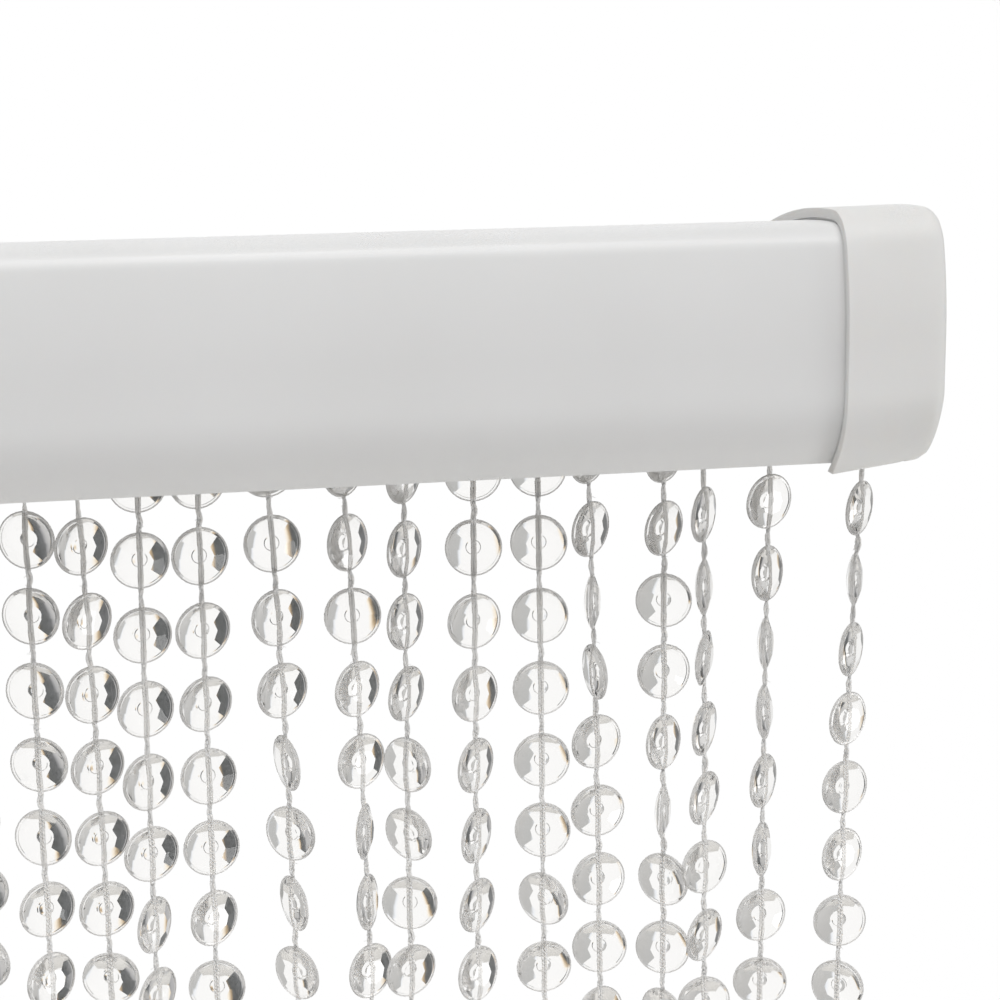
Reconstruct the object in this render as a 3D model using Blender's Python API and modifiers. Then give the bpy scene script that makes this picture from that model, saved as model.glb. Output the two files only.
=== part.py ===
"""Bead door curtain on its rail: a plastic channel with two push-on end caps, and one comb of strings that hangs
from a heading strip inside the channel.

Frame: X runs along the rail, +Y points into the wall behind it and +Z is up. The origin is the middle of the
rail's flat back face. Sections are drawn in (y, z) with y = 0 at the rail's front and z = 0 at its front lip.
"""

import math
import random
from collections import namedtuple

import bmesh
import bpy
from mathutils import Matrix, Vector

MM = 0.001

# Driving dimensions
WIDTH = 900 * MM  # over the two end caps
OVERALL_HEIGHT = 2000 * MM  # from the top of the caps to the ends of the strings
BACK_MIDDLE = 14 * MM  # height of the origin above the front lip
GAP = 0.3 * MM  # between pieces that touch

# Rail
RAIL_WALL = 1.5 * MM
LIP_SETBACK = 5.0 * MM  # from the rail's front
LIP_HEADING = 134.0  # degrees from +y: the skin leaves the lip upwards and forwards
Leg = namedtuple("Leg", "part radius turn run")  # an arc has a radius and a clockwise turn, a straight leg a run
RAIL_LEGS = (
    Leg("lip", 0.0, 0.0, 2.4 * MM),
    Leg("lower front", 12.0 * MM, 44.0, 0.0),
    Leg("front", 0.0, 0.0, 6.9 * MM),
    Leg("upper front", 45.0 * MM, 15.5, 0.0),
    Leg("shoulder", 4.2 * MM, 74.5, 0.0),
    Leg("crown", 100.0 * MM, 15.4, 0.0),
    Leg("back corner", 1.0 * MM, 74.6, 0.0),
)
ARC_STEP = 1.0 * MM  # longest chord along an arc
ARC_TURN = 7.5  # most degrees that a chord may turn

# Ledges inside the rail, which the heading strip rests on
LEDGE_BOTTOM = 9.0 * MM
LEDGE_THICK = 1.5 * MM
LEDGE_INTO_WALL = 0.75 * MM
FRONT_LEDGE_END = 12.0 * MM
BACK_LEDGE_END = 21.0 * MM

# End caps
CAP_WALL = 1.3 * MM
CAP_LENGTH = 13.8 * MM
CAP_END_WALL = 3.2 * MM
CAP_LIP_DROP = 1.3 * MM  # how far the cap's lip hangs below the rail's, at the cap's open rim
CAP_LIP_RISE = 1.3 * MM  # how much higher the lip is at the closed end
CAP_CHIN_HEIGHT = 9.0 * MM  # below this the closed end slopes back
CAP_CHIN_SETBACK = 1.5 * MM
CAP_TOP_RISE = 0.2 * MM  # how much higher the rest of the closed end is than the rim
CAP_EDGE_RADIUS = 1.8 * MM
CAP_EDGE_STEPS = 5

# Heading strip
STRIP_WIDTH = 14.0 * MM
STRIP_THICK = 2.0 * MM
STRIP_END_CLEARANCE = 0.6 * MM

# Strings
TOOTH_RADIUS = 2.0 * MM
STRING_COUNT = 102
STRING_Y = 16.5 * MM  # middle of the channel
FIRST_STRING_X = -443.8 * MM
Hung = namedtuple("Hung", "place lean")  # place from the right cap's rim, lean 42 mm below the front lip
RIGHT_END_STRINGS = tuple(
    Hung(place * MM, lean * MM)
    for place, lean in (
        (-105.9, 0.0),
        (-99.2, 1.0),
        (-91.3, -0.3),
        (-83.5, 0.0),
        (-74.3, 1.5),
        (-64.3, 1.7),
        (-56.0, -0.1),
        (-46.5, -0.3),
        (-37.6, 0.1),
        (-30.7, 1.1),
        (-20.4, 0.4),
        (-14.7, 0.4),
        (-5.2, -0.6),
        (7.6, -1.5),
    )
)
LEAN_DEPTH = 42 * MM  # below the front lip, where a lean is stated
LEAN_PEAK = 120 * MM  # depth at which a leaning string has swung out furthest
LEAST_GAP, MOST_GAP = 7.0, 10.6  # relative spacing of the other strings
MOST_LEAN = 0.7 * MM
MOST_FORWARD = 1.2 * MM
MOST_SHORT = 9 * MM  # how much shorter than the longest a string may be
STRING_STATIONS = (-12.0 * MM, 42 * MM, 120 * MM, 420 * MM)  # depths below the front lip
SEED = 11

RIM_X = WIDTH / 2 - CAP_LENGTH
CAP_SKIN = GAP + CAP_WALL


def fresh_collection(name, hidden=False):
    collection = bpy.data.collections.new(name)
    bpy.context.scene.collection.children.link(collection)
    collection.hide_render = hidden
    return collection


def plastic(name, colour, roughness):
    material = bpy.data.materials.new(name)
    material.use_nodes = True
    shader = material.node_tree.nodes["Principled BSDF"]
    shader.inputs["Base Color"].default_value = (*colour, 1.0)
    shader.inputs["Roughness"].default_value = roughness
    shader.inputs["Metallic"].default_value = 0.0
    return material


def add_object(name, mesh, collection, material=None):
    made = bpy.data.objects.new(name, mesh)
    collection.objects.link(made)
    if material:
        mesh.materials.append(material)
    return made


def as_helper(helper):
    """A shape that is only cut from or joined to another."""
    helper.hide_render = True
    helper.display_type = "WIRE"
    return helper


def boolean(target, helper, operation):
    modifier = target.modifiers.new(f"{operation.lower()} {helper.name}", "BOOLEAN")
    modifier.operation = operation
    modifier.solver = "EXACT"
    modifier.object = helper


def box(name, low, high, collection):
    """A box between two corners, from Blender's cube."""
    mesh = bpy.data.meshes.new(name)
    shape = bmesh.new()
    bmesh.ops.create_cube(shape, size=1.0)
    size = Vector(high) - Vector(low)
    bmesh.ops.scale(shape, vec=size, verts=shape.verts)
    bmesh.ops.translate(shape, vec=Vector(low) + size / 2, verts=shape.verts)
    shape.to_mesh(mesh)
    shape.free()
    return add_object(name, mesh, collection)


def skin(out=0.0):
    """The rail's section from its front lip over the top to the back, moved outwards by out."""
    heading = math.radians(LIP_HEADING)
    y = LIP_SETBACK - out * math.sin(heading)
    z = out * math.cos(heading)
    points = [(y, z)]
    for leg in RAIL_LEGS:
        if not leg.turn:
            y += leg.run * math.cos(heading)
            z += leg.run * math.sin(heading)
            points.append((y, z))
            continue
        radius = leg.radius + out
        turn = math.radians(leg.turn)
        steps = max(math.ceil(leg.turn / ARC_TURN), math.ceil(radius * turn / ARC_STEP))
        for _ in range(steps):
            chord = 2 * radius * math.sin(turn / steps / 2)
            heading -= turn / steps / 2
            y += chord * math.cos(heading)
            z += chord * math.sin(heading)
            heading -= turn / steps / 2
            points.append((y, z))
    return points


RAIL_DEPTH = skin()[-1][0]  # the legs end on the flat back, 33 mm behind the front


def to_world(x, y, z):
    return Vector((x, y - RAIL_DEPTH, z - BACK_MIDDLE))


def prism(name, outline, x_low, x_high, collection, closed=True):
    """An outline in (y, z), carried along X. An open outline makes an open sheet."""
    mesh = bpy.data.meshes.new(name)
    shape = bmesh.new()
    start = [shape.verts.new(to_world(x_low, y, z)) for y, z in outline]
    travel = Vector((x_high - x_low, 0, 0))
    if closed:
        sides = [shape.faces.new(start)]
        extruded = bmesh.ops.extrude_face_region(shape, geom=sides, use_keep_orig=True)
    else:
        sides = [shape.edges.new(pair) for pair in zip(start, start[1:])]
        extruded = bmesh.ops.extrude_edge_only(shape, edges=sides)
    moved = [v for v in extruded["geom"] if isinstance(v, bmesh.types.BMVert)]
    bmesh.ops.translate(shape, vec=travel, verts=moved)
    bmesh.ops.recalc_face_normals(shape, faces=shape.faces)
    shape.to_mesh(mesh)
    shape.free()
    return add_object(name, mesh, collection)


def face_outwards(sheet):
    """Turns an open sheet so that its normals point away from the middle of the channel."""
    middle = to_world(0, RAIL_DEPTH / 2, BACK_MIDDLE)
    total = 0.0
    for face in sheet.data.polygons:
        away = face.center - middle
        total += face.area * face.normal.dot(Vector((0, away.y, away.z)))
    if total < 0:
        sheet.data.flip_normals()


def smooth(piece, angle=30):
    piece.data.shade_smooth()
    piece.data.set_sharp_from_angle(angle=math.radians(angle))


def make_rail(parts, helpers, material):
    end = WIDTH / 2 - CAP_END_WALL - GAP
    outline = skin()
    outline.append((RAIL_DEPTH, 0.0))
    rail = prism("rail", outline, -end, end, parts, closed=False)
    rail.data.materials.append(material)
    face_outwards(rail)
    shell = rail.modifiers.new("wall", "SOLIDIFY")
    shell.thickness = RAIL_WALL
    shell.offset = -1.0
    shell.use_even_offset = True
    inside_front = RAIL_WALL - LEDGE_INTO_WALL
    ledges = (
        ("front ledge", inside_front, FRONT_LEDGE_END),
        ("back ledge", BACK_LEDGE_END, RAIL_DEPTH - inside_front),
    )
    for name, y_low, y_high in ledges:
        low = to_world(-end, y_low, LEDGE_BOTTOM)
        high = to_world(end, y_high, LEDGE_BOTTOM + LEDGE_THICK)
        boolean(rail, as_helper(box(name, low, high, helpers)), "UNION")
    smooth(rail)
    return rail


def cap_block(collection, material):
    """The cap's outer form, solid, with its closed end rounded and its lip cut on a slant."""
    outer = [point for point in skin(CAP_SKIN) if point[0] < RAIL_DEPTH]
    outer.append((RAIL_DEPTH, outer[-1][1]))
    outer.append((RAIL_DEPTH, -CAP_LIP_DROP))
    outer[0] = (outer[0][0], -CAP_LIP_DROP)
    cap = prism("end_cap_right", outer, RIM_X, WIDTH / 2, collection)
    cap.data.materials.append(material)
    shape = bmesh.new()
    shape.from_mesh(cap.data)
    floor = -CAP_LIP_DROP - BACK_MIDDLE
    chin = CAP_CHIN_HEIGHT - BACK_MIDDLE
    for vert in shape.verts:
        if vert.co.x < WIDTH / 2 - GAP:
            continue
        if vert.co.z < chin and vert.co.y < -RAIL_DEPTH / 2:
            vert.co.y += CAP_CHIN_SETBACK * (chin - vert.co.z) / CAP_CHIN_HEIGHT
        vert.co.z += CAP_LIP_RISE if abs(vert.co.z - floor) < GAP else CAP_TOP_RISE
    weights = shape.edges.layers.float.new("bevel_weight_edge")
    for edge in shape.edges:
        at_end = all(abs(v.co.x - WIDTH / 2) < GAP for v in edge.verts)
        on_back = all(abs(v.co.y) < GAP for v in edge.verts)
        edge[weights] = 1.0 if at_end and not on_back else 0.0
    shape.to_mesh(cap.data)
    shape.free()
    rounding = cap.modifiers.new("rounded end", "BEVEL")
    rounding.limit_method = "WEIGHT"
    rounding.width = CAP_EDGE_RADIUS
    rounding.segments = CAP_EDGE_STEPS
    return cap


def make_right_cap(parts, helpers, material):
    cap = cap_block(parts, material)
    beyond = 4 * CAP_SKIN
    socket = skin(GAP)
    socket.append((RAIL_DEPTH + beyond, socket[-1][1]))
    socket.append((RAIL_DEPTH + beyond, -beyond))
    socket.append((socket[0][0] + beyond, -beyond))
    cutter = prism("cap socket", socket, RIM_X - beyond, WIDTH / 2 - CAP_END_WALL, helpers)
    boolean(cap, as_helper(cutter), "DIFFERENCE")
    smooth(cap)
    return cap


def make_left_cap(right_cap, parts):
    graph = bpy.context.evaluated_depsgraph_get()
    mesh = bpy.data.meshes.new_from_object(right_cap.evaluated_get(graph))
    mesh.transform(Matrix.Scale(-1, 4, Vector((1, 0, 0))))
    mesh.flip_normals()
    mesh.name = "end_cap_left"
    return add_object("end_cap_left", mesh, parts)


def hung_strings():
    """(x, lean, forward, short) of each string, from the left end to the right. The last ones come from
    RIGHT_END_STRINGS, and the others fill the rest of the width with uneven gaps."""
    draw = random.Random(SEED)
    right_end = [(RIM_X + hung.place, hung.lean) for hung in RIGHT_END_STRINGS]
    others = STRING_COUNT - len(right_end)
    gaps = [draw.uniform(LEAST_GAP, MOST_GAP) for _ in range(others)]
    scale = (right_end[0][0] - FIRST_STRING_X) / sum(gaps)
    x = FIRST_STRING_X
    rows = []
    for gap in gaps:
        rows.append((x, draw.uniform(-MOST_LEAN, MOST_LEAN)))
        x += gap * scale
    return [
        (x, lean, draw.uniform(-MOST_FORWARD, MOST_FORWARD), draw.uniform(0.0, MOST_SHORT))
        for x, lean in rows + right_end
    ]


def swing(depth):
    """How much of its lean a string has at a depth: 1 at LEAN_DEPTH, most at LEAN_PEAK, then dying away."""
    def shape(d):
        return d / LEAN_PEAK * math.exp(1 - d / LEAN_PEAK)

    return shape(max(depth, 0.0)) / shape(LEAN_DEPTH)


def make_strings(parts, helpers, material):
    """The heading strip and its teeth, one for each string, as one comb."""
    cap_top = max(z for _, z in skin(CAP_SKIN))
    longest = OVERALL_HEIGHT - cap_top  # below the front lip
    curve = bpy.data.curves.new("teeth", "CURVE")
    curve.dimensions = "3D"
    curve.bevel_depth = TOOTH_RADIUS
    curve.bevel_resolution = 1
    curve.use_fill_caps = True
    for x, lean, forward, short in hung_strings():
        depths = [*STRING_STATIONS, longest - short]
        spline = curve.splines.new("POLY")
        spline.points.add(len(depths) - 1)
        for point, depth in zip(spline.points, depths):
            away = swing(depth)
            place = to_world(x + lean * away, STRING_Y + forward * away, -depth)
            point.co = (*place, 1.0)
    route = bpy.data.objects.new("teeth route", curve)
    helpers.objects.link(route)
    graph = bpy.context.evaluated_depsgraph_get()
    mesh = bpy.data.meshes.new_from_object(route.evaluated_get(graph))
    bpy.data.objects.remove(route)
    shape = bmesh.new()
    shape.from_mesh(mesh)
    bmesh.ops.remove_doubles(shape, verts=shape.verts, dist=0.01 * MM)
    bmesh.ops.recalc_face_normals(shape, faces=shape.faces)
    shape.to_mesh(mesh)
    shape.free()
    teeth = as_helper(add_object("teeth", mesh, helpers))

    half = WIDTH / 2 - CAP_END_WALL - GAP - STRIP_END_CLEARANCE
    bottom = LEDGE_BOTTOM + LEDGE_THICK + GAP
    low = to_world(-half, STRING_Y - STRIP_WIDTH / 2, bottom)
    high = to_world(half, STRING_Y + STRIP_WIDTH / 2, bottom + STRIP_THICK)
    comb = box("bead_strings", low, high, parts)
    comb.data.materials.append(material)
    boolean(comb, teeth, "UNION")
    return comb


def main():
    for old in list(bpy.data.objects):
        bpy.data.objects.remove(old)
    parts = fresh_collection("bead_curtain")
    helpers = fresh_collection("cutters_and_joins", hidden=True)
    rail_white = plastic("rail_white", (0.80, 0.80, 0.80), 0.35)
    cap_white = plastic("cap_white", (0.80, 0.79, 0.76), 0.55)
    clear = plastic("clear_beads", (0.86, 0.87, 0.86), 0.1)
    make_rail(parts, helpers, rail_white)
    right_cap = make_right_cap(parts, helpers, cap_white)
    make_left_cap(right_cap, parts)
    make_strings(parts, helpers, clear)


main()
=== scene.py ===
"""Looks of the bead curtain: clear discs moulded on twisted thread, hung from a white plastic rail."""
import math
import random
from collections import namedtuple

import bmesh
import bpy
import numpy as np
from mathutils import Matrix, Vector


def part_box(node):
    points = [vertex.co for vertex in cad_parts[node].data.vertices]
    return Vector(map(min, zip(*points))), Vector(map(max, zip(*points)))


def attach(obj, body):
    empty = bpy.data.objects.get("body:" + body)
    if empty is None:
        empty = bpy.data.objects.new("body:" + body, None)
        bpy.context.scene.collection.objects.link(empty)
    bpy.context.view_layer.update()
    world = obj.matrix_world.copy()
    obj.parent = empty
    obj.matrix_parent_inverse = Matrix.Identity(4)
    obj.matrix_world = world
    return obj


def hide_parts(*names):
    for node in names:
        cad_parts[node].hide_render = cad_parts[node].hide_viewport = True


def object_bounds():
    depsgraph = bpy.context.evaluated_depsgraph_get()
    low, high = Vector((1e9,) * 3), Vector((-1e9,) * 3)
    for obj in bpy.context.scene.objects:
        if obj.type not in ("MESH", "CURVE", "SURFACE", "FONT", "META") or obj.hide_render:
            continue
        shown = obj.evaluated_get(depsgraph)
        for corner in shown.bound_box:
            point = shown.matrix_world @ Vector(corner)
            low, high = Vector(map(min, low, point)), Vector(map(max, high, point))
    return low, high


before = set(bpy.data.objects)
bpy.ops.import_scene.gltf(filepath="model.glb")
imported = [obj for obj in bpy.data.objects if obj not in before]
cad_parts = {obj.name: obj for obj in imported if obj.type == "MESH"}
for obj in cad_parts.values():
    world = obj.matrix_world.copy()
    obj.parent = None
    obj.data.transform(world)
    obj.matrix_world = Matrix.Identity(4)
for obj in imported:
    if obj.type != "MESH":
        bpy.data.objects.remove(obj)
cad_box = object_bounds()

MM = 0.001

# ---------------------------------------------------------------- the hang, as drawn for the comb
# The frame has the rail's back on y = 0 and the wall mount at the origin. Depths are measured down from
# the rail's front lip, and STRING_Y from the front of the rail.
BACK_MIDDLE = 14.0 * MM  # from the front lip up to the mount
RAIL_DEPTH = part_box("rail")[1].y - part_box("rail")[0].y
LONGEST = -BACK_MIDDLE - cad_box[0].z
RAIL_HALF = 450.0 * MM
CAP_LENGTH = 13.8 * MM
RIM_X = RAIL_HALF - CAP_LENGTH  # the right cap's open rim
STRING_COUNT = 102
STRING_Y = 16.5 * MM
FIRST_STRING_X = -443.8 * MM
SEED = 11
LEAN_DEPTH = 42 * MM  # where a lean is stated
LEAN_PEAK = 120 * MM  # where a leaning string has swung out furthest
LEAST_GAP, MOST_GAP = 7.0, 10.6  # relative spacing
MOST_LEAN = 0.7 * MM
MOST_FORWARD = 1.2 * MM
MOST_SHORT = 9 * MM  # how much shorter than the longest a string may be

# The rail's section from its front lip over the top, as arcs (radius, clockwise turn) and straight runs
# in millimetres and degrees, and the caps' thin inner lip round it
LIP_SETBACK = 5.0 * MM
LIP_HEADING = 134.0
ARC_STEP = 7.5
RAIL_LEGS = (
    (0, 0, 2.4), (12, 44, 0), (0, 0, 6.9), (45, 15.5, 0), (4.2, 74.5, 0), (100, 15.4, 0), (1, 74.6, 0),
)
GRIP_INNER, GRIP_OUTER = 0.04 * MM, 0.26 * MM  # out from the rail
GRIP_SETBACK = 0.25 * MM  # in from the cap's rim
GRIP_LENGTH = 2 * MM

# Near the right end each string has its place from the cap's rim, its lean 42 mm down, the depth of its
# first whole disc under the front lip, and the turn of its discs from facing straight out, in degrees.
# The last few hang a little nearer the cap's end than their teeth, which are thicker and need the room.
Near = namedtuple("Near", "place lean first turns")
NEAR_STRINGS = [
    Near(-105.9, 0.0, 7.4, (-21, -17, -13, -14, -16)),
    Near(-99.2, 1.0, 8.6, (27, 34, 24, 24, 20)),
    Near(-91.3, -0.3, 10.8, (5, 7, 14, 28, 18)),
    Near(-83.5, 0.0, 10.7, (12, 18, 23, 12, 9)),
    Near(-74.3, 1.5, 9.6, (7, 22, 25, -70, -37)),
    Near(-64.3, 1.7, 10.0, (40, 1, 33, 28, 71)),
    Near(-56.0, -0.1, 11.4, (46, 43, 44, -43, -44)),
    Near(-46.5, -0.3, 11.6, (-5, 12, 27, 42, 49)),
    Near(-37.6, 0.1, 11.3, (-12, -9, -8, -8, -12)),
    Near(-30.6, 1.3, 9.9, (37, 72, -79, 16, 2)),
    Near(-19.9, 0.1, 10.3, (34, -15, 6, 38, 70)),
    Near(-14.3, 0.3, 8.6, (50, 64, 62, 50, 43)),
    Near(-4.7, 0.0, 7.4, (21, 40, 67, 62, 45)),
    Near(8.9, -1.3, 9.0, (43, 65, 46, 30, 16)),
]

# ---------------------------------------------------------------- disc and thread sizes
# A disc has a flat table with eight facets round it on one side, a smooth dome with a moulding dimple
# on the other, and a thin flange round both. It is moulded on the thread, so the thread runs through
# its middle with no bore. Lengths in millimetres.
DISC_RADIUS = 3.93
DISC_PITCH = 10.25 * MM
TABLE_APOTHEM = 0.41 * DISC_RADIUS
TABLE_HEIGHT = 0.93
FACETS = 8
FACET_SLOPE = math.radians(21)
CROWN_RADIUS = 0.87 * DISC_RADIUS
CORNER_NUDGE = 1e-6  # takes a point on a facet's corner just into the next facet, in radians
FLANGE_HALF = 0.20
FLANGE_INNER = CROWN_RADIUS + 0.03
DOME_HEIGHT = 1.20
DOME_STEPS = (0.86, 0.72, 0.56, 0.40, 0.27)
DIMPLE = ((0.95, 0.12), (0.62, 0.30), (0.30, 0.26))
RIM_TURNS = (90, 54, 18, -18, -54, -90)
RIM_STEPS = 32
RIM_REACH = DISC_RADIUS - 1.01 * FLANGE_HALF  # a face that lies wholly beyond this is on the rim
PLAIN_SIDES = 8
PLAIN_TABLE = 1.08 * TABLE_APOTHEM
PLAIN_RADIUS = 1.03 * DISC_RADIUS

# How the discs sit on a string, in millimetres and degrees, with (least, most) of each random draw
FIRST_DEPTH = (2.0, 11.5)
FIRST_TURN = (-60, 40)
TIP, ROLL = (-5, 5), (-6, 6)
PITCH_SHARE = (0.995, 1.01)
TURN_STEP = (-38, 38)
TURN_LIMITS = (-115, 75)
FRESH_MIDDLE, FRESH_TURN = -20, (-30, 30)  # for a turn that has wandered past its limits
HIGHEST_DISC = -1.5
TAIL = 2.5  # thread left under the last disc
DISC_CLEARANCE = 0.35

# The thread: two strands side by side in each disc and twisted between discs, a stitch loop beside each
# twist, and stray fibres. These show on the near strings down to NEAR_DEPTH; the rest is plain.
THREAD_TOP = -12 * MM
NEAR_DEPTH = 92 * MM
MORE_CLOSE = 2  # strings with fine discs beside the near ones
STRAND_RADIUS = 0.22 * MM
STRAND_SPREAD = (0.94, 1.06)
STRAND_OFFSET = 0.17 * MM
STRAND_STEP = 0.5 * MM
STRAND_SIDES = 6
TWIST_REACH = 1.07  # millimetres beyond the disc in which a strand makes a quarter turn
LOOP_RADIUS = 0.19 * MM
LOOP_LENGTH = 2.5 * MM
LOOP_SWELL = (0.16, 0.42)
LOOP_WANDER = (-0.1, 0.1)
LOOP_FORWARD = 0.25 * MM
LOOP_STEPS = 8
LOOP_SIDES = 5
MOST_FIBRES = 2
FIBRE_START = (-1.6, 1.6)
FIBRE_LENGTH = (0.4, 1.0)
FIBRE_RADIUS = 0.03 * MM
FIBRE_STATIONS = (0, 0.35, 0.7, 1.0)
FIBRE_SIDES = 3
PLAIN_THREAD_RADIUS = 0.33 * MM
PLAIN_THREAD_SIDES = 3

# Heading tape, in the place of the comb's strip
TAPE_HALF = 445.9 * MM
TAPE_WIDE = 14 * MM
TAPE_LOW, TAPE_HIGH = 10.8 * MM, 12.8 * MM
TAPE_EDGE = 0.5 * MM

# Heaps the far discs and threads are shared among, which keeps each piece under 200,000 triangles
DISC_HEAPS, THREAD_HEAPS = 4, 2
PLASTIC_ROUND = math.radians(24)  # plastic faces that meet at less than this are shaded as one
DISC_ROUND = math.radians(12)
PLASTIC_IOR = 1.49

# ---------------------------------------------------------------- camera and room
YAW, PITCH, CAMERA_ROLL = math.radians(10.80), math.radians(11.94), math.radians(-0.654)
CAMERA_PLACE = (0.3378, -0.3078, 0.0435)
LENS, SENSOR = 80.42, 36
CLIP_START = 0.01
FLOOR_RADIUS = 2.2
FLOOR_GAP = 0.03  # between the longest string and the floor

# A white screen behind the curtain, a dim side that the facets pick up, and a light room in front.
# The ramp runs round the horizon from straight in front (-180) past the screen (0) to the front again.
Stop = namedtuple("Stop", "degrees colour screen")
ROOM = [
    Stop(-180, (0.65, 0.65, 0.648), 0),
    Stop(-60, (0.64, 0.635, 0.63), 0),
    Stop(-40, (0.60, 0.595, 0.59), 0),
    Stop(-31, (0.44, 0.44, 0.45), 0),
    Stop(-26, (0.125, 0.13, 0.135), 0),
    Stop(-15.5, (0.10, 0.105, 0.105), 0),
    Stop(-14.4, (0.42, 0.28, 0.15), 0),
    Stop(-13.2, (1.00, 0.82, 0.55), 1),
    Stop(-12.0, (1.00, 1.00, 1.00), 1),
    Stop(25.5, (1.00, 1.00, 1.00), 1),
    Stop(26.8, (0.90, 0.93, 0.98), 1),
    Stop(28.0, (0.56, 0.565, 0.56), 0),
    Stop(38, (0.58, 0.575, 0.565), 0),
    Stop(50, (0.62, 0.615, 0.605), 0),
    Stop(180, (0.65, 0.65, 0.648), 0),
]
# The dim side by the screen is patchy, like a cluttered room: (degrees, share of the patches).
DIM_SIDE = [(-180, 0), (-29, 0), (-26, 1), (-15.5, 1), (-14.4, 0), (180, 0)]
PATCH_SCALE, PATCH_DETAIL, PATCH_ROUGHNESS = 15.0, 6.0, 0.75
# The room's light from straight down (0) to straight up (1).
FALL = [(0.0, 1.0), (0.20, 0.95), (0.42, 0.90), (0.58, 0.88), (0.85, 0.62), (1.0, 0.55)]
# Each softbox: name, place, aim, size in metres and watts. The floor's one hangs under the rail and
# faces down, so that it lights the floor and not the rail.
SOFTBOXES = [
    ("softbox_above", (0.1, -1.0, 2.15), (0.1, 0, 0), (2.6, 1.0), 40),
    ("softbox_low_right", (2.0, -0.6, -0.9), (0.4, 0, 0), (0.9, 0.9), 8),
    ("softbox_floor", (0, 0, -0.55), (0, 0, -2.0), (4.0, 4.0), 20),
]
CLAMP_INDIRECT = 3
BOUNCES = 16


def hung_strings():
    """Each string's x, lean, forward lean and how much shorter than the longest it ends."""
    draw = random.Random(SEED)
    right_end = [(RIM_X + near.place * MM, near.lean * MM) for near in NEAR_STRINGS]
    others = STRING_COUNT - len(right_end)
    gaps = [draw.uniform(LEAST_GAP, MOST_GAP) for _ in range(others)]
    scale = (right_end[0][0] - FIRST_STRING_X) / sum(gaps)
    x = FIRST_STRING_X
    rows = []
    for gap in gaps:
        rows.append((x, draw.uniform(-MOST_LEAN, MOST_LEAN)))
        x += gap * scale
    return [
        (x, lean, draw.uniform(-MOST_FORWARD, MOST_FORWARD), draw.uniform(0.0, MOST_SHORT))
        for x, lean in rows + right_end
    ]


def swing(depth):
    """How far a lean has swung at a depth: 1 at LEAN_DEPTH, most at LEAN_PEAK, then dying away."""
    def shape(d):
        return d / LEAN_PEAK * math.exp(1 - d / LEAN_PEAK)
    return shape(max(depth, 0.0)) / shape(LEAN_DEPTH)


# ---------------------------------------------------------------- small node helpers
def new_material(name):
    material = bpy.data.materials.new(name)
    material.use_nodes = True
    tree = material.node_tree
    tree.nodes.clear()
    output = tree.nodes.new("ShaderNodeOutputMaterial")
    shader = tree.nodes.new("ShaderNodeBsdfPrincipled")
    tree.links.new(shader.outputs["BSDF"], output.inputs["Surface"])
    return material, tree, shader


def node(tree, kind, **settings):
    made = tree.nodes.new(kind)
    for key, value in settings.items():
        setattr(made, key, value)
    return made


def set_sockets(made, values):
    for name, value in values.items():
        made.inputs[name].default_value = value


def feed(tree, socket, value):
    """A number goes onto the socket itself, and an output is linked to it."""
    if isinstance(value, (int, float)):
        socket.default_value = value
    else:
        tree.links.new(value, socket)


def noise(tree, place, scale, detail, roughness=0.55):
    made = node(tree, "ShaderNodeTexNoise")
    set_sockets(made, {"Scale": scale, "Detail": detail, "Roughness": roughness})
    tree.links.new(place, made.inputs["Vector"])
    return made


def grey(level):
    return (level,) * 3


def ramp(tree, value, stops):
    """A colour ramp from its stops, which are in rising order."""
    made = node(tree, "ShaderNodeValToRGB")
    elements = made.color_ramp.elements
    elements[0].position, elements[-1].position = stops[0][0], stops[-1][0]
    for position, _ in stops[1:-1]:
        elements.new(position)
    for element, (_, colour) in zip(elements, stops):
        element.color = (*colour, 1.0)
    tree.links.new(value, made.inputs["Fac"])
    return made


def math_node(tree, operation, first, second):
    made = node(tree, "ShaderNodeMath", operation=operation)
    feed(tree, made.inputs[0], first)
    feed(tree, made.inputs[1], second)
    return made.outputs[0]


def mixed(tree, share, first, second):
    """A number that is the first where the share is 0 and the second where it is 1."""
    made = node(tree, "ShaderNodeMix", data_type="FLOAT")
    feed(tree, made.inputs[0], share)
    feed(tree, made.inputs[2], first)
    feed(tree, made.inputs[3], second)
    return made.outputs[0]


def stretched(tree, scale):
    """Object coordinates in metres, stretched so that a texture runs along one way."""
    coordinates = node(tree, "ShaderNodeTexCoord")
    mapping = node(tree, "ShaderNodeMapping")
    mapping.inputs["Scale"].default_value = scale
    tree.links.new(coordinates.outputs["Object"], mapping.inputs["Vector"])
    return mapping.outputs["Vector"]


def add_bump(tree, shader, height, distance):
    bump = node(tree, "ShaderNodeBump")
    bump.inputs["Strength"].default_value = 1.0
    bump.inputs["Distance"].default_value = distance
    tree.links.new(height, bump.inputs["Height"])
    tree.links.new(bump.outputs["Normal"], shader.inputs["Normal"])


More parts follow.
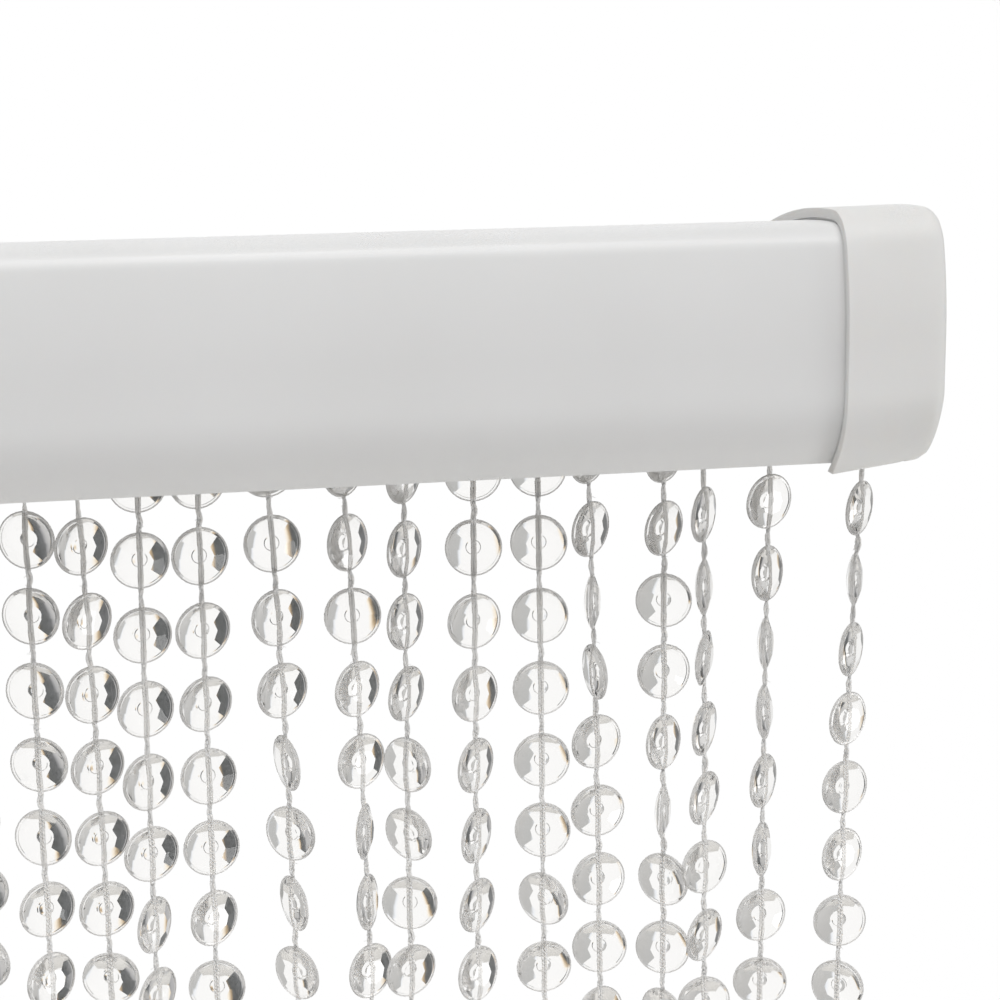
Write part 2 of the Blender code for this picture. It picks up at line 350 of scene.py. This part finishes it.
# ---------------------------------------------------------------- materials
def rail_material():
    """Extruded white plastic: faint draw lines along the rail and a soft gloss."""
    material, tree, shader = new_material("rail_white_plastic")
    fine = noise(tree, stretched(tree, (6.0, 900.0, 900.0)), 3.0, 3.0)
    cloudy = noise(tree, stretched(tree, (30.0, 30.0, 30.0)), 1.0, 3.0)
    tone = ramp(tree, cloudy.outputs["Fac"], [
        (0.30, (0.735, 0.735, 0.733)),
        (0.70, (0.762, 0.762, 0.762)),
    ])
    tree.links.new(tone.outputs["Color"], shader.inputs["Base Color"])
    gloss = ramp(tree, fine.outputs["Fac"], [(0.3, grey(0.30)), (0.7, grey(0.42))])
    tree.links.new(gloss.outputs["Color"], shader.inputs["Roughness"])
    set_sockets(shader, {
        "IOR": PLASTIC_IOR,
        "Subsurface Weight": 0.15,
        "Subsurface Radius": (1.0, 0.9, 0.8),
        "Subsurface Scale": 0.001,
    })
    add_bump(tree, shader, fine.outputs["Fac"], 0.00002)
    return material


def cap_material():
    """Moulded plastic, a little creamier than the rail, with a fine satin grain."""
    material, tree, shader = new_material("cap_moulded_plastic")
    grain = noise(tree, stretched(tree, (900.0, 900.0, 900.0)), 2.0, 3.0)
    cloudy = noise(tree, stretched(tree, (60.0, 60.0, 60.0)), 1.0, 3.0)
    tone = ramp(tree, cloudy.outputs["Fac"], [
        (0.30, (0.735, 0.731, 0.718)),
        (0.70, (0.765, 0.763, 0.755)),
    ])
    tree.links.new(tone.outputs["Color"], shader.inputs["Base Color"])
    gloss = ramp(tree, grain.outputs["Fac"], [(0.3, grey(0.44)), (0.7, grey(0.56))])
    tree.links.new(gloss.outputs["Color"], shader.inputs["Roughness"])
    set_sockets(shader, {
        "IOR": PLASTIC_IOR,
        "Subsurface Weight": 0.3,
        "Subsurface Radius": (1.2, 1.0, 0.8),
        "Subsurface Scale": 0.001,
    })
    add_bump(tree, shader, grain.outputs["Fac"], 0.00002)
    return material


def disc_material():
    """Clear acrylic with a very faint moulding haze. It lets the lamps' light through to the thread."""
    material, tree, shader = new_material("clear_acrylic")
    set_sockets(shader, {
        "Base Color": (0.985, 0.978, 0.965, 1.0),
        "Transmission Weight": 1.0,
        "IOR": PLASTIC_IOR,
    })
    haze = noise(tree, stretched(tree, (500.0, 500.0, 500.0)), 1.0, 2.0)
    gloss = ramp(tree, haze.outputs["Fac"], [(0.35, grey(0.01)), (0.75, grey(0.09))])
    tree.links.new(gloss.outputs["Color"], shader.inputs["Roughness"])
    clear = node(tree, "ShaderNodeBsdfTransparent")
    path = node(tree, "ShaderNodeLightPath")
    mix = node(tree, "ShaderNodeMixShader")
    output = next(n for n in tree.nodes if n.type == "OUTPUT_MATERIAL")
    tree.links.new(path.outputs["Is Shadow Ray"], mix.inputs[0])
    tree.links.new(shader.outputs[0], mix.inputs[1])
    tree.links.new(clear.outputs[0], mix.inputs[2])
    tree.links.new(mix.outputs[0], output.inputs["Surface"])
    return material


def disc_edge_material():
    """The same acrylic at the disc's rim, frosted by the mould and given a grey tone, which is painted
    shade for the grey outline that a clear rim shows.
    """
    material, tree, shader = new_material("acrylic_edge_painted_grey")
    rim_frost_and_shade = noise(tree, stretched(tree, (900.0, 900.0, 900.0)), 1.0, 3.0)
    # The grey tone is painted shade for the rim's dark outline; the noise varies it at random.
    tone = ramp(tree, rim_frost_and_shade.outputs["Fac"], [
        (0.35, (0.66, 0.65, 0.635)),
        (0.65, (0.84, 0.83, 0.82)),
    ])
    tree.links.new(tone.outputs["Color"], shader.inputs["Base Color"])
    gloss = ramp(tree, rim_frost_and_shade.outputs["Fac"], [(0.3, grey(0.30)), (0.7, grey(0.50))])
    tree.links.new(gloss.outputs["Color"], shader.inputs["Roughness"])
    set_sockets(shader, {"Transmission Weight": 0.5, "IOR": PLASTIC_IOR})
    add_bump(tree, shader, rim_frost_and_shade.outputs["Fac"], 0.00002)
    return material


def thread_material():
    """Pale grey twisted yarn: slanting plies, a fibrous bump and a little sheen. Its colour follows the
    bump and is darker in the grooves between plies, which is painted shade.
    """
    material, tree, shader = new_material("thread_yarn")
    plies = node(tree, "ShaderNodeTexWave", wave_type="BANDS", bands_direction="DIAGONAL")
    set_sockets(plies, {"Scale": 1.0, "Distortion": 1.5, "Detail": 2.0})
    tree.links.new(stretched(tree, (1100.0, 1100.0, 1100.0)), plies.inputs["Vector"])
    fibres = noise(tree, stretched(tree, (5000.0, 5000.0, 1500.0)), 1.0, 4.0)
    height = math_node(tree, "ADD", plies.outputs["Fac"], fibres.outputs["Fac"])
    # Darker where the bump is low, in the grooves between plies: painted shade, with a random tone from
    # the fibre noise.
    tone = ramp(tree, height, [
        (0.25, (0.86, 0.83, 0.80)),
        (0.65, (0.94, 0.915, 0.89)),
    ])
    tree.links.new(tone.outputs["Color"], shader.inputs["Base Color"])
    set_sockets(shader, {
        "Roughness": 0.75,
        "Subsurface Weight": 0.6,
        "Subsurface Radius": (1.0, 0.95, 0.9),
        "Subsurface Scale": 0.0004,
        "Sheen Weight": 0.25,
        "Sheen Roughness": 0.5,
    })
    add_bump(tree, shader, height, 0.00008)
    return material


def tape_material():
    """Woven heading tape, warp and weft at half a millimetre. Its colour is darker in the gaps between
    the threads, which is painted shade.
    """
    material, tree, shader = new_material("heading_tape_weave")
    warp = node(tree, "ShaderNodeTexWave", wave_type="BANDS", bands_direction="X")
    weft = node(tree, "ShaderNodeTexWave", wave_type="BANDS", bands_direction="Y")
    for wave in (warp, weft):
        set_sockets(wave, {"Scale": 1.0, "Distortion": 0.4})
        tree.links.new(stretched(tree, (640.0, 640.0, 640.0)), wave.inputs["Vector"])
    height = math_node(tree, "MULTIPLY", warp.outputs["Fac"], weft.outputs["Fac"])
    # Darker where the weave's height is low, in the gaps between threads: painted shade.
    tone = ramp(tree, height, [
        (0.1, (0.56, 0.55, 0.52)),
        (0.8, (0.76, 0.75, 0.72)),
    ])
    tree.links.new(tone.outputs["Color"], shader.inputs["Base Color"])
    set_sockets(shader, {"Roughness": 0.85, "Sheen Weight": 0.2})
    add_bump(tree, shader, height, 0.0001)
    return material


def floor_material():
    """Pale, even matt floor."""
    material, tree, shader = new_material("pale_floor")
    speckle = noise(tree, stretched(tree, (3.0, 3.0, 3.0)), 2.0, 4.0)
    tone = ramp(tree, speckle.outputs["Fac"], [
        (0.3, (0.88, 0.865, 0.835)),
        (0.7, (0.91, 0.895, 0.865)),
    ])
    tree.links.new(tone.outputs["Color"], shader.inputs["Base Color"])
    shader.inputs["Roughness"].default_value = 0.7
    return material


# ---------------------------------------------------------------- mesh helpers
def new_object(name, mesh, material):
    mesh.materials.append(material)
    made = bpy.data.objects.new(name, mesh)
    bpy.context.scene.collection.objects.link(made)
    return made


def shaped(name, shape, material):
    """An object made of a bmesh shape, which is freed."""
    mesh = bpy.data.meshes.new(name)
    shape.to_mesh(mesh)
    shape.free()
    return new_object(name, mesh, material)


def crown_height(angle, radius):
    """Height of the facet over a point, its own middle at half a facet's turn."""
    share = 2 * math.pi / FACETS
    off = (angle % share) - share / 2
    return TABLE_HEIGHT - (radius * math.cos(off) - TABLE_APOTHEM) * math.tan(FACET_SLOPE)


def ring_points(radius, height, steps=RIM_STEPS):
    turns = [2 * math.pi * step / steps for step in range(steps)]
    return [(radius * math.cos(turn), radius * math.sin(turn), height) for turn in turns]


def disc_mesh():
    """The disc's points and triangles: x across, y along the string, z out of its table side."""
    shape = bmesh.new()
    table_corner = TABLE_APOTHEM / math.cos(math.pi / FACETS)
    table = [shape.verts.new(p) for p in ring_points(table_corner, TABLE_HEIGHT, FACETS)]
    shape.faces.new(table)
    each = RIM_STEPS // FACETS
    crown = []
    for step, (x, y, _) in enumerate(ring_points(CROWN_RADIUS, 0)):
        turn = 2 * math.pi * step / RIM_STEPS + (0 if step % each else CORNER_NUDGE)
        crown.append(shape.verts.new((x, y, crown_height(turn, CROWN_RADIUS))))
    for facet in range(FACETS):
        arc = [crown[(facet * each + step) % RIM_STEPS] for step in range(each + 1)]
        shape.faces.new([table[(facet + 1) % FACETS], table[facet]] + arc)
    dome_sag = DOME_HEIGHT - FLANGE_HALF
    ball = (DISC_RADIUS ** 2 + dome_sag ** 2) / (2 * dome_sag)

    def dome(radius):
        return -(FLANGE_HALF + math.sqrt(ball ** 2 - radius ** 2) - (ball - dome_sag))

    profile = [(FLANGE_INNER, FLANGE_HALF)]
    for turn in map(math.radians, RIM_TURNS):
        reach = DISC_RADIUS - FLANGE_HALF * (1 - math.cos(turn))
        profile.append((reach, FLANGE_HALF * math.sin(turn)))
    profile += [(share * DISC_RADIUS, dome(share * DISC_RADIUS)) for share in DOME_STEPS]
    profile += [(radius, dome(radius) + depth) for radius, depth in DIMPLE]
    last = crown
    for radius, height in profile:
        ring = [shape.verts.new(p) for p in ring_points(radius, height)]
        for step in range(RIM_STEPS):
            after = (step + 1) % RIM_STEPS
            shape.faces.new((last[step], ring[step], ring[after], last[after]))
        last = ring
    shape.faces.new(last[::-1])
    bmesh.ops.recalc_face_normals(shape, faces=shape.faces[:])
    bmesh.ops.triangulate(shape, faces=shape.faces[:])
    vertices = np.array([v.co[:] for v in shape.verts])
    faces = np.array([[v.index for v in face.verts] for face in shape.faces])
    shape.free()
    return vertices, faces


def on_rim(vertices, faces):
    """1 for each face that lies wholly on the disc's rounded rim, else 0."""
    reach = np.hypot(vertices[:, 0], vertices[:, 1])
    return (reach[faces].min(axis=1) > RIM_REACH).astype(int)


def plain_disc():
    """The same disc with eight sides and thirty triangles, for the far strings."""
    sides = PLAIN_SIDES
    vertices = ring_points(PLAIN_TABLE, TABLE_HEIGHT, sides) + ring_points(PLAIN_RADIUS, 0.0, sides)
    vertices.append((0, 0, -DOME_HEIGHT))
    faces = [(0, step, step + 1) for step in range(1, sides - 1)]
    for step in range(sides):
        after = (step + 1) % sides
        faces.append((step, step + sides, after + sides))
        faces.append((step, after + sides, after))
        faces.append((step + sides, 2 * sides, after + sides))
    return np.array(vertices), np.array(faces)


def placed(vertices, string, row):
    """A disc's points in the world: turned about the string, tipped and rolled a little."""
    turn, tip, roll = map(math.radians, row[2:5])
    centre = string_point(string, row[1])
    across = Vector((math.cos(turn), math.sin(turn), 0))
    out = Vector((math.sin(turn), -math.cos(turn), 0))
    basis = Matrix((across, Vector((0, 0, 1)), out)).transposed()
    basis = basis @ Matrix.Rotation(tip, 3, "X") @ Matrix.Rotation(roll, 3, "Z")
    return vertices @ np.array(basis).T * MM + np.array(centre)


def tube(points, radii, sides):
    """A closed tube round a path, its rings lying flat across the path's own direction."""
    points = np.asarray(points, float)
    ways = np.gradient(points, axis=0)
    ways /= np.linalg.norm(ways, axis=1)[:, None]
    first = np.array((0.0, 1.0, 0.0))
    rings = []
    for point, way, radius in zip(points, ways, radii):
        first = first - way * (first @ way)
        first /= np.linalg.norm(first)
        second = np.cross(way, first)
        for step in range(sides):
            angle = 2 * math.pi * step / sides
            rings.append(point + radius * (math.cos(angle) * first + math.sin(angle) * second))
    faces = []
    for ring in range(len(points) - 1):
        for step in range(sides):
            after = (step + 1) % sides
            low, high = ring * sides, (ring + 1) * sides
            faces.append((low + step, low + after, high + after, high + step))
    faces.append(tuple(range(sides))[::-1])
    last = (len(points) - 1) * sides
    faces.append(tuple(range(last, last + sides)))
    return rings, faces


class Heap:
    """Meshes gathered into one."""

    def __init__(self):
        self.vertices = []
        self.faces = []

    def add(self, vertices, faces):
        start = len(self.vertices)
        self.vertices.extend(map(tuple, vertices))
        self.faces.extend(tuple(int(i) + start for i in face) for face in faces)

    def piece(self, name, material, smooth=True):
        mesh = bpy.data.meshes.new(name)
        mesh.from_pydata(self.vertices, [], self.faces)
        mesh.update()
        if smooth:
            mesh.polygons.foreach_set("use_smooth", [True] * len(mesh.polygons))
        return new_object(name, mesh, material)


# ---------------------------------------------------------------- the strings
def string_point(string, depth):
    """The middle of a string at a depth."""
    x, lean, forward, _ = string
    at = swing(depth)
    return Vector((x + lean * at, STRING_Y - RAIL_DEPTH + forward * at, -BACK_MIDDLE - depth))


def disc_rows(strings):
    """Every disc as (string number, depth, turn, tip, roll), with a seeded wander down each string."""
    draw = random.Random(SEED + 1)
    rows = []
    first_near = len(strings) - len(NEAR_STRINGS)
    for number, string in enumerate(strings):
        near = NEAR_STRINGS[number - first_near] if number >= first_near else None
        turns = near.turns if near else ()
        # The last string hangs by the cap's end wall, which leaves no room for a disc above the lip.
        highest = (DISC_RADIUS if number == len(strings) - 1 else HIGHEST_DISC) * MM
        lowest = LONGEST - string[3] - DISC_RADIUS * MM - TAIL * MM
        depth = (near.first if near else draw.uniform(*FIRST_DEPTH)) * MM - DISC_PITCH
        turn = turns[0] if near else draw.uniform(*FIRST_TURN)
        row = 0
        while depth < lowest:
            if depth > highest:
                rows.append([number, depth, turn, draw.uniform(*TIP), draw.uniform(*ROLL)])
            depth += DISC_PITCH * draw.uniform(*PITCH_SHARE)
            if row < len(turns):
                turn = turns[row]
            else:
                turn += draw.uniform(*TURN_STEP)
                if not TURN_LIMITS[0] <= turn <= TURN_LIMITS[1]:
                    turn = FRESH_MIDDLE + draw.uniform(*FRESH_TURN)
            row += 1
    return rows


def room_for(rows, strings):
    """Holds a disc's turn back where the string beside it leaves too little room."""
    xs = [string[0] for string in strings]
    for row in rows:
        number = row[0]
        gaps = []
        if number:
            gaps.append(xs[number] - xs[number - 1])
        if number + 1 < len(xs):
            gaps.append(xs[number + 1] - xs[number])
        allowed = (min(gaps) / MM - DISC_CLEARANCE) / 2
        reach = DISC_RADIUS * abs(math.cos(math.radians(row[2])))
        if reach > allowed and number < len(xs) - len(NEAR_STRINGS):
            least = math.degrees(math.acos(allowed / DISC_RADIUS))
            row[2] = math.copysign(least, row[2]) if row[2] else least


def strand(string, discs, side, draw):
    """The path and radii of one of a string's two strands, which lie side by side in each disc."""
    points, radii = [], []
    depth = THREAD_TOP
    while depth <= NEAR_DEPTH:
        near = min(discs, key=lambda row: abs(row[1] - depth))
        offset = (depth - near[1]) / MM
        beyond = min(max((abs(offset) - DISC_RADIUS) / TWIST_REACH, 0.0), 1.0)
        turn = math.radians(near[2]) + math.copysign(math.radians(90) * beyond, offset)
        across = Vector((math.cos(turn), math.sin(turn), 0))
        points.append(string_point(string, depth) + across * side * STRAND_OFFSET)
        radii.append(STRAND_RADIUS * draw.uniform(*STRAND_SPREAD))
        depth += STRAND_STEP
    return points, radii


def stitch_loop(string, middle, draw):
    """The path of the loose loop beside the twist half-way between two discs."""
    side = draw.choice((-1, 1))
    swell = draw.uniform(*LOOP_SWELL)
    points = []
    for step in range(LOOP_STEPS + 1):
        along = step / LOOP_STEPS
        depth = middle + (along - 0.5) * LOOP_LENGTH
        sideways = side * math.sin(math.pi * along) * swell * MM
        forward = draw.uniform(*LOOP_WANDER) * MM - LOOP_FORWARD
        points.append(string_point(string, depth) + Vector((sideways, forward, 0)))
    return points


def stray_fibre(string, middle, draw):
    """The path of a fibre that sticks out to one side of the twist and bends as it goes."""
    start = string_point(string, middle + draw.uniform(*FIBRE_START) * MM)
    way = Vector((
        draw.choice((-1, 1)) * draw.uniform(0.4, 1.0),
        draw.uniform(-0.5, 0.2),
        draw.uniform(-0.8, 0.8),
    )).normalized()
    bend = Vector((0, 0, draw.uniform(-0.5, 0.3)))
    length = draw.uniform(*FIBRE_LENGTH) * MM
    return [start + way * length * t + bend * length * t * t for t in FIBRE_STATIONS]


def near_thread(threads, fibres, string, discs, draw):
    """Adds one string's strands and stitch loops to one heap, and its stray fibres to another."""
    for side in (1, -1):
        points, radii = strand(string, discs, side, draw)
        threads.add(*tube(points, radii, STRAND_SIDES))
    centres = [row[1] for row in discs]
    for above, below in zip(centres, centres[1:]):
        middle = (above + below) / 2
        loop = stitch_loop(string, middle, draw)
        threads.add(*tube(loop, [LOOP_RADIUS] * len(loop), LOOP_SIDES))
        for _ in range(draw.randint(0, MOST_FIBRES)):
            fibre = stray_fibre(string, middle, draw)
            fibres.add(*tube(fibre, [FIBRE_RADIUS] * len(fibre), FIBRE_SIDES))


def far_thread(string, top):
    """A plain thread from a depth to the string's end, with a ring every second disc."""
    end = LONGEST - string[3]
    count = max(2, round((end - top) / (2 * DISC_PITCH)) + 1)
    depths = [top + (end - top) * step / (count - 1) for step in range(count)]
    points = [string_point(string, depth) for depth in depths]
    return tube(points, [PLAIN_THREAD_RADIUS] * count, PLAIN_THREAD_SIDES)


def string_pieces():
    """Every string's discs and thread, fine near the camera and plain elsewhere, as a few pieces."""
    strings = hung_strings()
    rows = disc_rows(strings)
    room_for(rows, strings)
    fine_disc, coarse_disc = disc_mesh(), plain_disc()
    near_discs, near_threads, fibres = Heap(), Heap(), Heap()
    far_discs = [Heap() for _ in range(DISC_HEAPS)]
    far_threads = [Heap() for _ in range(THREAD_HEAPS)]
    first_close = STRING_COUNT - len(NEAR_STRINGS) - MORE_CLOSE
    draw = random.Random(SEED + 2)
    for number, string in enumerate(strings):
        discs = [row for row in rows if row[0] == number]
        close = [row for row in discs if number >= first_close and row[1] < NEAR_DEPTH]
        for row in close:
            near_discs.add(placed(fine_disc[0], string, row), fine_disc[1])
        if close:
            near_thread(near_threads, fibres, string, close, draw)
        for row in discs[len(close):]:
            heap = far_discs[number * DISC_HEAPS // STRING_COUNT]
            heap.add(placed(coarse_disc[0], string, row), coarse_disc[1])
        top = NEAR_DEPTH if close else THREAD_TOP
        far_threads[number * THREAD_HEAPS // STRING_COUNT].add(*far_thread(string, top))

    acrylic, yarn = disc_material(), thread_material()
    near = near_discs.piece("discs_near", acrylic)
    near.data.set_sharp_from_angle(angle=DISC_ROUND)
    near.data.materials.append(disc_edge_material())
    rim_faces = on_rim(*fine_disc)
    disc_count = len(near.data.polygons) // len(rim_faces)
    near.data.polygons.foreach_set("material_index", np.tile(rim_faces, disc_count))
    made = [near, near_threads.piece("threads_near", yarn), fibres.piece("thread_fibres", yarn)]
    made += [heap.piece(f"discs_{n + 1}", acrylic, smooth=False) for n, heap in enumerate(far_discs)]
    made += [heap.piece(f"threads_{n + 1}", yarn) for n, heap in enumerate(far_threads)]
    return made


def heading_tape():
    """The woven tape that the strings hang from, in the rail's channel."""
    shape = bmesh.new()
    bmesh.ops.create_cube(shape, size=1)
    for vertex in shape.verts:
        vertex.co.x *= TAPE_HALF * 2
        vertex.co.y = vertex.co.y * TAPE_WIDE + STRING_Y - RAIL_DEPTH
        vertex.co.z = vertex.co.z * (TAPE_HIGH - TAPE_LOW) + (TAPE_HIGH + TAPE_LOW) / 2 - BACK_MIDDLE
    bmesh.ops.bevel(
        shape, geom=shape.edges[:], offset=TAPE_EDGE, segments=2, affect="EDGES", profile=0.5
    )
    return shaped("heading_tape", shape, tape_material())


# ---------------------------------------------------------------- the caps' grip on the rail
def rail_skin(out):
    """The rail's section in (y, z) from its front lip over the top to the back, grown by a length."""
    heading = math.radians(LIP_HEADING)
    y = LIP_SETBACK - out * math.sin(heading)
    z = out * math.cos(heading)
    points = [(y, z)]
    for radius, turn, run in RAIL_LEGS:
        if run:
            y += run * MM * math.cos(heading)
            z += run * MM * math.sin(heading)
            points.append((y, z))
            continue
        radius = radius * MM + out
        steps = max(math.ceil(turn / ARC_STEP), math.ceil(radius * math.radians(turn) / MM))
        half = math.radians(turn) / steps / 2
        for _ in range(steps):
            heading -= half
            y += 2 * radius * math.sin(half) * math.cos(heading)
            z += 2 * radius * math.sin(half) * math.sin(heading)
            heading -= half
            points.append((y, z))
    return points


def cap_grips():
    """The thin inner lip with which each cap closes on the rail, just inside its open rim."""
    heap = Heap()
    inner, outer = rail_skin(GRIP_INNER), rail_skin(GRIP_OUTER)
    loop = [(min(y, RAIL_DEPTH), z) for y, z in inner + outer[::-1]]
    count = len(loop)
    for side in (1, -1):
        ends = (side * (RIM_X + GRIP_SETBACK), side * (RIM_X + GRIP_SETBACK + GRIP_LENGTH))
        vertices = [(x, y - RAIL_DEPTH, z - BACK_MIDDLE) for x in ends for y, z in loop]
        faces = []
        for step in range(count):
            after = (step + 1) % count
            faces.append((step, after, after + count, step + count)[::side])
        for step in range(len(inner) - 1):
            other = count - 1 - step
            far_end = tuple(i + count for i in (step, step + 1, other - 1, other))
            faces.append((step, other, other - 1, step + 1)[::side])
            faces.append(far_end[::side])
        heap.add(vertices, faces)
    return heap


# ---------------------------------------------------------------- shading of the carried-over plastic
def shade_by_angle(thing, limit):
    """Rounds the shading where neighbouring faces meet at less than the limit; no point moves."""
    mesh = thing.data
    count = len(mesh.loops)
    corners = np.empty(count, dtype=int)
    mesh.loops.foreach_get("vertex_index", corners)
    points = np.empty(len(mesh.vertices) * 3)
    mesh.vertices.foreach_get("co", points)
    points = points.reshape(-1, 3)
    groups = {}
    face_of = np.empty(count, dtype=int)
    for face in mesh.polygons:
        for loop in face.loop_indices:
            face_of[loop] = face.index
            key = tuple(np.round(points[corners[loop]] * 1e6).astype(int))
            groups.setdefault(key, []).append(loop)
    normals = np.array([face.normal[:] for face in mesh.polygons])
    areas = np.array([face.area for face in mesh.polygons])
    least = math.cos(limit)
    rounded = [None] * count
    for loops in groups.values():
        faces = face_of[loops]
        for loop, own in zip(loops, faces):
            keep = normals[faces] @ normals[own] > least
            total = (normals[faces] * areas[faces][:, None])[keep].sum(axis=0)
            rounded[loop] = tuple(total / max(np.linalg.norm(total), 1e-12))
    mesh.polygons.foreach_set("use_smooth", [True] * len(mesh.polygons))
    mesh.normals_split_custom_set(rounded)


# ---------------------------------------------------------------- camera, floor, world and lamps
def new_camera():
    """A camera turned by its yaw and pitch and then rolled about its own axis."""
    forward = Vector((
        math.sin(YAW) * math.cos(PITCH),
        math.cos(YAW) * math.cos(PITCH),
        -math.sin(PITCH),
    ))
    level = Vector((math.cos(YAW), -math.sin(YAW), 0))
    upright = level.cross(forward)
    right = math.cos(CAMERA_ROLL) * level + math.sin(CAMERA_ROLL) * upright
    up = -math.sin(CAMERA_ROLL) * level + math.cos(CAMERA_ROLL) * upright
    data = bpy.data.cameras.new("camera")
    data.sensor_width = SENSOR
    data.lens = LENS
    data.clip_start = CLIP_START
    camera = bpy.data.objects.new("camera", data)
    bpy.context.scene.collection.objects.link(camera)
    facing = Matrix((right, up, -forward)).transposed().to_4x4()
    camera.matrix_world = Matrix.Translation(CAMERA_PLACE) @ facing
    return camera


def studio_floor():
    shape = bmesh.new()
    bmesh.ops.create_circle(shape, cap_ends=True, segments=96, radius=FLOOR_RADIUS)
    made = shaped("studio_floor", shape, floor_material())
    made.location.z = cad_box[0].z - FLOOR_GAP
    return made


def studio_world():
    """The room round the curtain, which its clear discs refract."""
    world = bpy.data.worlds.new("studio")
    world.use_nodes = True
    sky = world.node_tree
    sky.nodes.clear()
    output = node(sky, "ShaderNodeOutputWorld")
    background = node(sky, "ShaderNodeBackground")
    sky.links.new(background.outputs[0], output.inputs[0])
    direction = node(sky, "ShaderNodeTexCoord").outputs["Generated"]
    split = node(sky, "ShaderNodeSeparateXYZ")
    sky.links.new(direction, split.inputs[0])

    around = math_node(sky, "ARCTAN2", split.outputs["X"], split.outputs["Y"])
    turn_share = math_node(sky, "ADD", math_node(sky, "DIVIDE", around, 2 * math.pi), 0.5)

    def round_room(stops):
        """A ramp round the horizon from (degrees, colour) stops."""
        made = ramp(sky, turn_share, [(degrees / 360 + 0.5, colour) for degrees, colour in stops])
        return made.outputs["Color"]

    tint = round_room((stop.degrees, stop.colour) for stop in ROOM)
    screen = round_room((stop.degrees, grey(stop.screen)) for stop in ROOM)
    dim = round_room((degrees, grey(share)) for degrees, share in DIM_SIDE)

    upward = math_node(sky, "ADD", math_node(sky, "MULTIPLY", split.outputs["Z"], 0.5), 0.5)
    fall = ramp(sky, upward, [(share, grey(level)) for share, level in FALL])
    clutter = noise(sky, direction, PATCH_SCALE, PATCH_DETAIL, PATCH_ROUGHNESS)
    patches = node(sky, "ShaderNodeMapRange")
    set_sockets(patches, {"From Min": 0.3, "From Max": 0.7, "To Min": 0.5, "To Max": 1.5})
    sky.links.new(clutter.outputs["Fac"], patches.inputs["Value"])
    patchy = mixed(sky, dim, 1.0, patches.outputs[0])
    room_light = math_node(sky, "MULTIPLY", fall.outputs["Color"], patchy)
    sky.links.new(tint, background.inputs["Color"])
    sky.links.new(mixed(sky, screen, room_light, 1.0), background.inputs["Strength"])
    return world


def softbox(name, place, aim, size, watts):
    """A wide lamp, hidden from the camera and from what the discs refract."""
    lamp = bpy.data.lights.new(name, "AREA")
    lamp.shape = "RECTANGLE"
    lamp.size, lamp.size_y = size
    lamp.energy = watts
    made = bpy.data.objects.new(name, lamp)
    made.location = place
    made.rotation_euler = (Vector(aim) - Vector(place)).to_track_quat("-Z", "Y").to_euler()
    made.visible_camera = False
    made.visible_transmission = False
    bpy.context.scene.collection.objects.link(made)


# ---------------------------------------------------------------- build
bpy.context.scene.camera = new_camera()

cap_plastic = cap_material()
for name, material in (
    ("rail", rail_material()),
    ("end_cap_right", cap_plastic),
    ("end_cap_left", cap_plastic),
):
    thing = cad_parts[name]
    shade_by_angle(thing, PLASTIC_ROUND)
    thing.data.materials.clear()
    thing.data.materials.append(material)

string_parts = string_pieces() + [heading_tape()]

grips = cap_grips().piece("cap_grips", cap_plastic)
grips.data.set_sharp_from_angle(angle=PLASTIC_ROUND)
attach(grips, "root")

for piece in string_parts:
    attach(piece, "root")
    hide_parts("bead_strings")

floor = studio_floor()
bpy.context.scene.world = studio_world()
for facts in SOFTBOXES:
    softbox(*facts)

scene = bpy.context.scene
scene.view_settings.view_transform = "Standard"
scene.cycles.denoising_input_passes = "RGB"
scene.cycles.sample_clamp_indirect = CLAMP_INDIRECT
scene.cycles.max_bounces = BOUNCES
scene.cycles.transmission_bounces = BOUNCES
scene.cycles.transparent_max_bounces = BOUNCES
